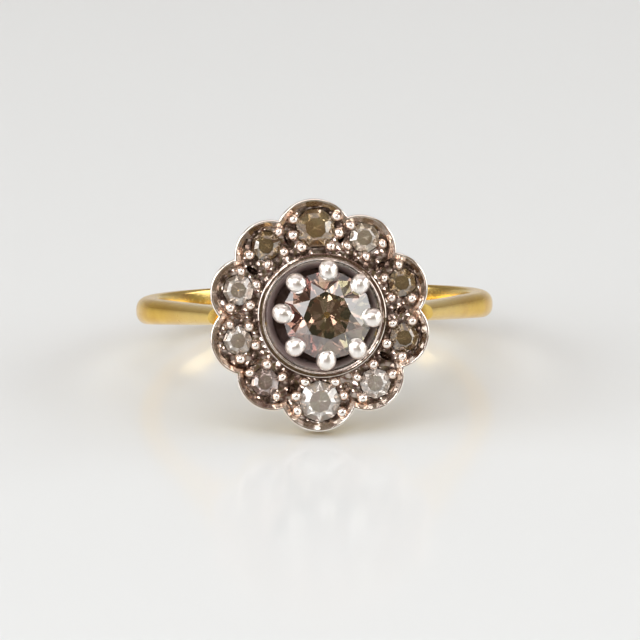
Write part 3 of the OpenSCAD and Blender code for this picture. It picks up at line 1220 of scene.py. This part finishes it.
@dataclass
class PetalSetting:
    """Platinum plate with its rims, bright-cut slopes, recesses, seats and pressed grains.

    A recess's levels are its radius and its height from the petals' floor, going down. The grains'
    angles go round each stone, from outwards, in degrees. grain_sizes, grain_turn, grain_lean and
    grain_squash say how uneven they are.
    """

    sizes: RingSizes
    seat_steps: int = 40
    recess_steps: int = 16
    recess_in: float = 0.42
    recess_long: float = 2.0
    recess_levels: tuple[tuple[float, float], ...] = (
        (0.17, 0.0), (0.14, -0.12), (0.06, -0.26), (0.02, -0.3),
    )
    collar_steps: int = 120
    collar_step_h: float = 0.5
    collar_oval: tuple[float, float] = (1.012, 0.978)
    collar_slip: tuple[float, float] = (-0.05, -0.04)
    grain_steps: int = 20
    grain_d: float = 0.58
    grain_gap: float = 0.2
    grain_lift: float = 0.07
    grain_sizes: tuple[float, float] = (0.94, 1.06)
    grain_turn: float = 2.0
    grain_lean: float = 6.0
    grain_squash: float = 0.78
    small_grains: tuple[int, ...] = (80, 146, -146, -80)
    large_grains: tuple[int, ...] = (66, 104, 142, -142, -104, -66)
    large_stone_d: float = 1.9
    chance: random.Random = field(default_factory=lambda: random.Random(7))

    def rim_profile(self) -> Profile:
        """Shapes the rim from the plate's back, over its top, to the petals' floor.

        Returns:
            Offset from the outline and level of each line.
        """
        s = self.sizes
        top = s.rim_z
        inner, foot = -s.rim_w, s.rim_foot
        return [
            (-0.03, s.plate_z), (0.0, s.plate_z + 0.03), (0.0, top - 0.07), (-0.012, top - 0.03),
            (-0.04, top - 0.006), (-0.07, top), (inner + 0.03, top - 0.008), (inner, top - 0.04),
            (inner - 0.1, top - 0.17), (foot + 0.06, s.floor_z + 0.06), (foot, s.floor_z),
        ]

    def seat(self, shape: Shape, petal: Petal) -> tuple[Verts, Verts]:
        """Cuts one stone's seat, from the floor through to the back.

        Args:
            shape: The plate.
            petal: Whose stone it is.

        Returns:
            The loops at the floor and at the back.
        """
        s = self.sizes
        cut = RoundCut(petal.stone_diameter)
        wide, hole = cut.radius + s.stone_gap, cut.radius * s.light_share
        slope = cut.pavilion * cut.diameter * (1 - s.light_share) / (1 - cut.culet)
        ledge = s.floor_z - cut.girdle * cut.diameter / 2 - s.stone_gap
        levels = [(wide, s.floor_z), (wide, ledge), (hole, ledge - slope), (hole, s.plate_z)]
        return shape.loft([circle(petal.stone_centre(), r, z, self.seat_steps) for r, z in levels])

    def recess(self, shape: Shape, i: int) -> Verts:
        """Drills the dark recess inside the notch after a petal.

        Args:
            shape: The plate.
            i: The petal's number.

        Returns:
            The recess's loop at the floor.
        """
        s = self.sizes
        notch = s.notch(i, s.rim_foot)
        turn = math.degrees(math.atan2(notch.y, notch.x))
        centre = polar(turn, notch.length - self.recess_in)
        mouth, end = shape.loft([
            circle(centre, radius, s.floor_z + drop, self.recess_steps, self.recess_long, turn)
            for radius, drop in self.recess_levels
        ])
        shape.bm.faces.new(end)
        return mouth

    def build_plate(self) -> Shape:
        """Makes the plate with its rim, seats, recesses, collar and web.

        Returns:
            The closed plate, without grains and claws.
        """
        s = self.sizes
        shape = Shape()
        back, floor = shape.loft([s.outline(offset, height) for offset, height in self.rim_profile()])
        seats = [self.seat(shape, petal) for petal in s.petals]
        recesses = [self.recess(shape, i) for i in range(len(s.petals))]
        middle = Vector((s.collar_shift + self.collar_slip[0], self.collar_slip[1], 0))
        wide, high = self.collar_oval
        foot, web = shape.loft([
            circle(middle, radius * high, height, self.collar_steps, wide / high)
            for radius, height in self.collar_profile()
        ])
        shape.fill([floor, foot] + [top for top, _ in seats] + recesses, 1)
        shape.fill([back, web] + [bottom for _, bottom in seats], -1)
        bmesh.ops.recalc_face_normals(shape.bm, faces=shape.bm.faces)
        return shape

    def collar_profile(self) -> Profile:
        """Shapes the collar from its foot outside, over its lip, to the web's hole.

        Returns:
            Radius and level of each line.
        """
        s = self.sizes
        top = s.collar_z
        foot, lip = s.collar_d / 2, s.collar_top_d / 2
        step, web = s.floor_z + self.collar_step_h, s.web_z
        return [
            (foot, s.floor_z), (foot, s.floor_z + 0.07), (foot - 0.01, step - 0.07),
            (foot - 0.03, step - 0.02), (foot - 0.065, step), (foot - 0.1, step - 0.015),
            (foot - 0.125, step - 0.03), (foot - 0.14, step),
            (lip + 0.03, top - 0.13), (lip + 0.02, top - 0.07), (lip, top - 0.02), (lip - 0.03, top),
            (lip - 0.07, top - 0.004), (lip - 0.1, top - 0.025), (lip - 0.13, top - 0.08),
            (lip - 0.27, top - 0.27), (lip - 0.36, top - 0.42), (s.collar_foot_r + 0.1, web + 0.3),
            (s.collar_foot_r - 0.02, web + 0.03), (s.collar_foot_r - 0.12, web),
            (s.web_hole_r, web), (s.web_hole_r, s.plate_z),
        ]

    def build_grains(self, shape: Shape) -> None:
        """Raises the grains and presses each over its stone's edge.

        Args:
            shape: The mesh that takes them.
        """
        s = self.sizes
        for petal in s.petals:
            centre = petal.stone_centre() + Vector((0, 0, s.floor_z))
            cut = RoundCut(petal.stone_diameter)
            turns = self.large_grains if petal.stone_diameter > self.large_stone_d else self.small_grains
            for turn in turns:
                self.grain(shape, petal, turn, centre, cut)

    def grain(self, shape: Shape, petal: Petal, turn: float, centre: Vector, cut: RoundCut) -> None:
        """Raises one grain, a little uneven as hand work is.

        Args:
            shape: The mesh that takes it.
            petal: Whose stone it holds.
            turn: Its angle round the stone, from outwards.
            centre: Middle of the stone's girdle.
            cut: The stone's proportions.
        """
        draw, foot = self.chance.uniform, -self.grain_lift
        size = self.grain_d / 2 * draw(*self.grain_sizes)
        angle = petal.stone_angle + turn + draw(-self.grain_turn, self.grain_turn)
        at = centre + polar(angle, cut.radius + self.grain_gap, self.grain_lift)
        profile = [(0.0, size)]
        for degrees in range(75, -31, -15):
            rise = math.radians(degrees)
            profile.append((size * math.cos(rise), size * math.sin(rise)))
        profile += [(size * 1.12, foot - 0.02), (size * 1.2, foot - 0.1)]
        lean = Matrix.Rotation(math.radians(draw(-self.grain_lean, self.grain_lean)), 4, "X")
        squash = Matrix.Scale(draw(self.grain_squash, 1.0), 4, polar(draw(0, 360), 1.0))
        verts = shape.turned(profile, self.grain_steps, Matrix.Translation(at) @ (lean @ squash))
        cut.press(verts, centre, self.sizes.stone_gap / 2)


@dataclass
class GoldShank:
    """Gold band with straight shoulders, the rail under the head, the back plate and its tube.

    rail_end and crisp_angle are in degrees. width_at is how far outside the finger's round the
    band's width is taken, and end_slope is the shoulder end's drop for each millimetre across.
    """

    sizes: RingSizes
    finish: bpy.types.Material
    round_steps: int = 72
    shoulder_steps: int = 4
    rail_steps: int = 18
    tube_steps: int = 96
    hole_steps: int = 40
    rail_end: float = 71.0
    soft: float = 0.07
    end_slope: float = 0.22
    end_drop: float = 0.02
    plate_slip: float = 0.01
    hole_flare: float = 0.07
    crown_start: float = 0.06
    crown_power: float = 0.8
    crown_flat: float = 0.04
    width_at: float = 0.5
    crisp_angle: float = 30.0

    def half_width(self, along: float) -> float:
        """Half the band's width, wide at the back and narrow at the head.

        Args:
            along: Distance from the finger's axis towards the head, negative at the back.

        Returns:
            Half the width there.
        """
        s = self.sizes
        back, front = s.band_back_w / 2, s.band_front_w / 2
        outside = s.finger_r + s.band_t
        return back + (front - back) * (along + outside) / (s.plate_z + outside)

    def section(self, half: float) -> Profile:
        """The band's section: flat inside, upright sides and a softly rounded outside.

        Args:
            half: Half its width.

        Returns:
            Distance from the finger's axis and place across the band of each corner, in order.
        """
        s = self.sizes
        r = s.finger_r
        side = [
            (r, half - s.comfort - 0.08), (r + 0.03, half - s.comfort), (r + s.comfort, half - 0.02),
            (r + s.comfort + 0.06, half), (r + s.side_h - 0.12, half),
        ]
        low = r + s.side_h - self.crown_start
        for degrees in range(10, 90, 10):
            turn = math.radians(degrees)
            rise = (r + s.band_t - low) * math.sin(turn)
            side.append((low + rise, half * math.cos(turn) ** self.crown_power))
        side.append((r + s.band_t, self.crown_flat))
        return side + [(distance, -across) for distance, across in reversed(side)]

    def round_section(self, angle: float) -> list[Vector]:
        """The band's section at one place on its round, in the head's frame.

        Args:
            angle: Degrees from the head's axis round the finger.

        Returns:
            Its corners.
        """
        turn = math.radians(angle)
        out = Vector((math.sin(turn), 0, math.cos(turn)))
        half = self.half_width(out.z * (self.sizes.finger_r + self.width_at))
        return [out * distance + Vector((0, across, 0)) for distance, across in self.section(half)]

    def shoulder_section(self, side: int, share: float) -> list[Vector]:
        """The band's section on a straight shoulder, whose end slopes under the back plate.

        Args:
            side: 1 for the right shoulder, or -1.
            share: Share of the shoulder's length, from the round.

        Returns:
            Its corners.
        """
        s = self.sizes
        turn = math.radians(s.shoulder_angle)
        half = self.half_width(s.finger_r * math.cos(turn))
        corners = []
        for distance, across in self.section(half):
            end = s.back_z + s.back_t - self.end_drop - self.end_slope * (half - across)
            run = share * (end - distance * math.cos(turn)) / math.sin(turn)
            x = side * (distance * math.sin(turn) - run * math.cos(turn))
            z = distance * math.cos(turn) + run * math.sin(turn)
            corners.append(Vector((x, across * self.half_width(z) / half, z)))
        return corners

    def build_band(self, shape: Shape) -> None:
        """Carries the section along both shoulders and round the back.

        Args:
            shape: The mesh that takes the band.
        """
        edge = self.sizes.shoulder_angle
        sweep = (360 - 2 * edge) / self.round_steps
        shares = [step / self.shoulder_steps for step in range(1, self.shoulder_steps + 1)]
        loops = [self.shoulder_section(1, share) for share in reversed(shares)]
        loops += [self.round_section(edge + sweep * step) for step in range(self.round_steps + 1)]
        loops += [self.shoulder_section(-1, share) for share in shares]
        self.cap(shape, shape.loft(loops))

    @staticmethod
    def cap(shape: Shape, ends: tuple[Verts, Verts]) -> None:
        """Closes both ends of a lofted length.

        Args:
            shape: The mesh.
            ends: Its first and last loops.
        """
        for end in ends:
            shape.bm.faces.new(end)

    def build_rail(self, shape: Shape) -> None:
        """Closes the round under the head, from each shoulder to the gallery tube's wall.

        Args:
            shape: The mesh that takes the rail.
        """
        s = self.sizes
        half = s.band_front_w / 2
        low, high, soft = s.finger_r, s.finger_r + s.rail_t, self.soft
        corners = [
            (low, half - soft), (low + soft, half), (high - soft, half), (high, half - soft),
            (high, soft - half), (high - soft, -half), (low + soft, -half), (low, soft - half),
        ]
        start = math.degrees(math.asin((s.gallery_d - s.gallery_wall) / (low + high)))
        for side in (-1, 1):
            loops = []
            for step in range(self.rail_steps + 1):
                angle = start + (self.rail_end - start) * step / self.rail_steps
                turn = math.radians(side * angle)
                out = Vector((math.sin(turn), 0, math.cos(turn)))
                loops.append([out * r + Vector((0, across, 0)) for r, across in corners])
            self.cap(shape, shape.loft(loops))

    def saddle(self, radius: float) -> list[Vector]:
        """Points of the tube's foot, a circle that lies on the finger's round.

        Args:
            radius: The circle's radius.

        Returns:
            Its points.
        """
        r = self.sizes.finger_r
        flat = circle(Vector(), radius, 0, self.tube_steps)
        return [Vector((point.x, point.y, math.sqrt(r**2 - point.x**2))) for point in flat]

    def build_gallery(self, shape: Shape) -> None:
        """Stands the tube on the finger's round and lays the back plate on it, holes and all.

        Args:
            shape: The mesh that takes them.
        """
        s = self.sizes
        outer, inner = s.gallery_d / 2, s.gallery_d / 2 - s.gallery_wall
        top, bottom, soft = s.back_z + s.back_t, s.back_z, self.soft
        low = Vector((self.plate_slip, -s.back_lip, 0))
        rim = [
            (-soft, bottom), (-0.02, bottom + 0.02), (0.0, bottom + soft),
            (0.0, top - 0.03), (-0.03, top),
        ]
        under, over = shape.loft([[point + low for point in s.outline(*level)] for level in rim])
        high, joint = shape.loft([
            circle(Vector(), inner, top, self.tube_steps), self.saddle(inner),
            self.saddle(outer), circle(Vector(), outer, bottom, self.tube_steps),
        ])
        holes = []
        for petal in s.petals:
            hole = petal.stone_diameter * s.light_share / 2
            centre = petal.stone_centre()
            levels = [(hole, top), (hole + self.hole_flare, bottom)]
            holes.append(shape.loft([circle(centre, r, z, self.hole_steps) for r, z in levels]))
        shape.fill([over, high] + [upper for upper, _ in holes], 1)
        shape.fill([under, joint] + [lower for _, lower in holes], -1)

    def build(self) -> bpy.types.Object:
        """Makes the shank and puts it in its node's place.

        Returns:
            The shank.
        """
        shape = Shape()
        self.build_band(shape)
        self.build_rail(shape)
        self.build_gallery(shape)
        bmesh.ops.recalc_face_normals(shape.bm, faces=shape.bm.faces)
        piece = shape.finish("gold_shank", self.sizes.head_place(), self.finish, self.crisp_angle)
        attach(piece, "root")
        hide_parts("shank")
        return piece


@dataclass
class ClawCrown:
    """Eight worked claws that stand on the collar's web and grip the centre stone.

    worked is the length of the top that the hand has changed. least_tip, turn_error, bend and the
    dents say how uneven the claws are.
    """

    sizes: RingSizes
    count: int = 8
    turn: float = -3.5
    steps: int = 32
    stem_d: float = 0.72
    tip_rise: float = 0.84
    tip_reach: float = 0.22
    worked: float = 0.5
    least_tip: float = 0.96
    turn_error: float = 1.5
    bend: float = 0.08
    dents: int = 3
    dent_depths: tuple[float, float] = (0.03, 0.09)
    chance: random.Random = field(default_factory=lambda: random.Random(3))

    def profile(self, length: float, size: float) -> Profile:
        """Radius and height of one claw's lines, from its foot to its crown.

        Args:
            length: Height of the tip's centre above the foot.
            size: Radius of the tip.

        Returns:
            The profile, ending on the axis.
        """
        stem = self.stem_d / 2
        lines = [
            (0.0, -0.06), (stem * 1.1, -0.06), (stem * 1.04, 0.08), (stem, 0.25),
            (stem, length - 0.85), (stem * 1.03, length - 0.66), (size * 0.82, length - 0.4),
            (size * 0.93, length - 0.22), (size * 0.99, length - 0.07),
        ]
        for degrees in range(9, 91, 9):
            angle = math.radians(degrees)
            lines.append((size * math.cos(angle), length + size * self.tip_rise * math.sin(angle)))
        return lines

    def work(self, verts: Verts, length: float, size: float) -> None:
        """Works one claw's tip by hand: longer towards the stone, a little bent and dented.

        Args:
            verts: The claw's vertices, upright, with the stone towards -X.
            length: Height of the tip's centre above the foot.
            size: Radius of the tip.
        """
        draw = self.chance.uniform
        bend = draw(-self.bend, self.bend)
        dents = [(draw(0, math.tau), draw(*self.dent_depths)) for _ in range(self.dents)]
        for vert in verts:
            share = max(0.0, min(1.0, (vert.co.z - length + self.worked) / self.worked))
            if vert.co.x < 0:
                vert.co.x *= 1 + self.tip_reach * share
            vert.co.y += vert.co.x * bend * share
            for turn, depth in dents:
                out = (vert.co.x * math.cos(turn) + vert.co.y * math.sin(turn)) / size
                vert.co.z -= size * depth * share * max(0.0, out) ** 2

    def build(self, shape: Shape) -> None:
        """Adds the claws.

        Args:
            shape: The mesh that takes them.
        """
        s = self.sizes
        tip, foot = s.claw_tip(), Vector((s.claw_foot_r, 0, s.web_z))
        length = (tip - foot).length
        lean = math.atan2(tip.x - foot.x, tip.z - foot.z)
        aside = Matrix.Translation((s.claw_shift, 0, 0))
        cut = RoundCut(s.centre_d)
        girdle = Vector((s.claw_shift, 0, s.girdle_z))
        for i in range(self.count):
            size = s.claw_tip_d / 2 * self.chance.uniform(self.least_tip, 1.0)
            verts = shape.turned(self.profile(length, size), self.steps, Matrix())
            self.work(verts, length, size)
            slip = self.chance.uniform(-self.turn_error, self.turn_error)
            angle = self.turn + i * 360 / self.count + slip
            spin = Matrix.Rotation(math.radians(angle), 4, "Z")
            stand = spin @ Matrix.Translation(foot) @ Matrix.Rotation(lean, 4, "Y")
            bmesh.ops.transform(shape.bm, matrix=aside @ stand, verts=verts)
            cut.press(verts, girdle, s.stone_gap / 2)


@dataclass
class Setting:
    """The whole platinum setting, one soldered piece."""

    sizes: RingSizes
    finish: bpy.types.Material

    def build(self) -> bpy.types.Object:
        """Makes the setting and puts it in its node's place.

        Returns:
            The setting.
        """
        petals = PetalSetting(self.sizes)
        shape = petals.build_plate()
        petals.build_grains(shape)
        ClawCrown(self.sizes).build(shape)
        piece = shape.finish("platinum_setting", self.sizes.head_place(), self.finish)
        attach(piece, "root")
        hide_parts("setting")
        return piece


@dataclass
class Stones:
    """The centre stone and the ten petal stones, each its own cut and colour."""

    sizes: RingSizes
    tints: tuple[Tint, ...] = (
        Tint.BROWN, Tint.DULL, Tint.OLIVE, Tint.BROWN, Tint.CLEAR,
        Tint.CLEAR, Tint.ROSE, Tint.BRIGHT, Tint.BRIGHT, Tint.BROWN,
    )
    centre_turn: float = 4.0
    petal_clear: float = 0.8
    crisp_angle: float = 0.3
    chance: random.Random = field(default_factory=lambda: random.Random(11))

    def place_one(self, shape: Shape, node: str, finish: bpy.types.Material) -> bpy.types.Object:
        """Puts one stone in its node's place.

        Args:
            shape: The cut stone.
            node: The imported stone's name.
            finish: The stone's finish.

        Returns:
            The stone.
        """
        bmesh.ops.recalc_face_normals(shape.bm, faces=shape.bm.faces)
        piece = shape.finish(f"cut_{node}", self.sizes.head_place(), finish, self.crisp_angle)
        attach(piece, "root")
        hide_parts(node)
        return piece

    def build(self) -> list[bpy.types.Object]:
        """Cuts all the stones and puts each in its node's place.

        Returns:
            The stones, the centre one first.
        """
        s = self.sizes
        shape = Shape()
        girdle = Vector((s.claw_shift, 0, s.girdle_z))
        RoundCut(s.centre_d).build(shape, girdle, self.centre_turn, self.chance)
        # The centre stone is darker red-brown towards its left, a painted reflection.
        finish = CutDiamond(Tint.CENTRE, painted_side_at=s.claw_shift).build()
        made = [self.place_one(shape, "centre_stone", finish)]
        finishes = {
            tint: CutDiamond(tint, clear=self.petal_clear).build() for tint in Tint if tint in self.tints
        }
        for number, (petal, tint) in enumerate(zip(s.petals, self.tints), 1):
            shape = Shape()
            centre = petal.stone_centre() + Vector((0, 0, s.floor_z))
            turn = self.chance.uniform(0, 45)
            RoundCut(petal.stone_diameter).build_eight(shape, centre, turn, self.chance)
            made.append(self.place_one(shape, f"petal_stone_{number}", finishes[tint]))
        return made


# Studio


@dataclass
class SoftLight:
    """A rectangular soft light that looks at the ring."""

    name: str
    place: tuple[float, float, float]
    size: tuple[float, float]
    power: float

    def build(self) -> bpy.types.Object:
        """Makes the light.

        Returns:
            The light.
        """
        data = bpy.data.lights.new(self.name, "AREA")
        data.shape = "RECTANGLE"
        data.size, data.size_y = self.size
        data.energy = self.power
        light = bpy.data.objects.new(self.name, data)
        light.location = self.place
        light.rotation_mode = "QUATERNION"
        light.rotation_quaternion = Vector(self.place).to_track_quat("Z", "Y")
        light.visible_camera = False
        bpy.context.scene.collection.objects.link(light)
        return light


@dataclass
class Studio:
    """Pale table, soft lights, the dim room behind the camera, and the camera.

    The table is in metres, and the camera aims at a point beside the head's axis, in millimetres.
    """

    sizes: RingSizes
    table_half: float = 1.5
    sweep_y: float = 0.75
    sweep_height: float = 1.2
    sweep_bend: float = 0.3
    sweep_steps: int = 16
    azimuth: float = -1.75
    elevation: float = 17.1
    roll: float = -0.7
    distance: float = 0.3
    aim: tuple[float, float] = (-0.05, -0.02)
    px_per_mm: float = 19.66
    centre_px: tuple[float, float] = (319.8, 315.0)
    image_px: int = 640
    sensor_mm: float = 36.0
    clip: tuple[float, float] = (0.01, 20.0)
    lights: tuple[SoftLight, ...] = (
        SoftLight("top_light", (0.0, 0.16, 0.5), (0.7, 0.5), 0.69),
        SoftLight("left_light", (-0.5, 0.0, 0.25), (0.3, 0.3), 0.75),
        SoftLight("right_light", (0.5, 0.1, 0.25), (0.3, 0.3), 0.7),
        SoftLight("front_light", (-0.05, -0.27, 0.42), (0.45, 0.2), 0.56),
        SoftLight("left_front_light", (-0.38, -0.26, 0.18), (0.35, 0.3), 0.98),
        SoftLight("right_front_light", (0.40, -0.22, 0.18), (0.35, 0.3), 0.9),
        SoftLight("catch_light", (-0.11, -0.41, 0.23), (0.1, 0.1), 0.24),
    )

    def build_table(self) -> None:
        """Lays the table under the ring and carries it up behind as a sweep."""
        shape = Shape()
        bmesh.ops.create_grid(shape.bm, x_segments=1, y_segments=1, size=self.table_half)
        back = next(edge for edge in shape.bm.edges if all(vert.co.y > 0 for vert in edge.verts))
        for vert in back.verts:
            vert.co.y = self.sweep_y
        raised = bmesh.ops.extrude_edge_only(shape.bm, edges=[back])["geom"]
        tops = [item for item in raised if isinstance(item, bmesh.types.BMVert)]
        bmesh.ops.translate(shape.bm, vec=(0, 0, self.sweep_height), verts=tops)
        bmesh.ops.bevel(
            shape.bm, geom=[back], offset=self.sweep_bend, affect="EDGES", segments=self.sweep_steps,
            profile=0.5, material=-1,
        )
        table = shape.finish("table", Matrix(), StudioSurface().build(), 180)

    def build_camera(self) -> None:
        """Sets the camera where the photograph was taken from."""
        azimuth, elevation = math.radians(self.azimuth), math.radians(self.elevation)
        back = Vector((
            math.sin(azimuth) * math.cos(elevation),
            -math.cos(azimuth) * math.cos(elevation),
            math.sin(elevation),
        ))
        turn = (-back).to_track_quat("-Z", "Y") @ Quaternion((0, 0, 1), math.radians(self.roll))
        middle = self.sizes.head_place() @ Vector((*self.aim, self.sizes.floor_z))
        aside, above = turn @ Vector((1, 0, 0)), turn @ Vector((0, 1, 0))
        right = (self.image_px / 2 - self.centre_px[0]) / self.px_per_mm * MM
        up = (self.centre_px[1] - self.image_px / 2) / self.px_per_mm * MM
        data = bpy.data.cameras.new("camera")
        data.sensor_width = self.sensor_mm
        data.lens = self.px_per_mm / MM * self.distance / self.image_px * self.sensor_mm
        data.clip_start, data.clip_end = self.clip
        camera = bpy.data.objects.new("camera", data)
        camera.rotation_mode = "QUATERNION"
        camera.rotation_quaternion = turn
        camera.location = middle + back * self.distance + aside * right + above * up
        bpy.context.scene.collection.objects.link(camera)
        bpy.context.scene.camera = camera

    def build(self) -> None:
        """Makes the table, the room, the lights and the camera."""
        self.build_table()
        bpy.context.scene.world = DimRoom().build()
        for light in self.lights:
            light.build()
        self.build_camera()
        bpy.context.scene.view_settings.view_transform = "Standard"


def main() -> None:
    """Builds the ring and its studio, and reports each piece."""
    logging.basicConfig(level=logging.INFO, format="%(message)s")
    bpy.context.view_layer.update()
    sizes = RingSizes()
    gold, platinum = yellow_gold(sizes).build(sizes), old_platinum(sizes).build(sizes)
    pieces = [GoldShank(sizes, gold).build(), Setting(sizes, platinum).build(), *Stones(sizes).build()]
    for piece in pieces:
        log.info("%s: %d faces", piece.name, len(piece.data.polygons))
    Studio(sizes).build()


if __name__ == "__main__":
    main()
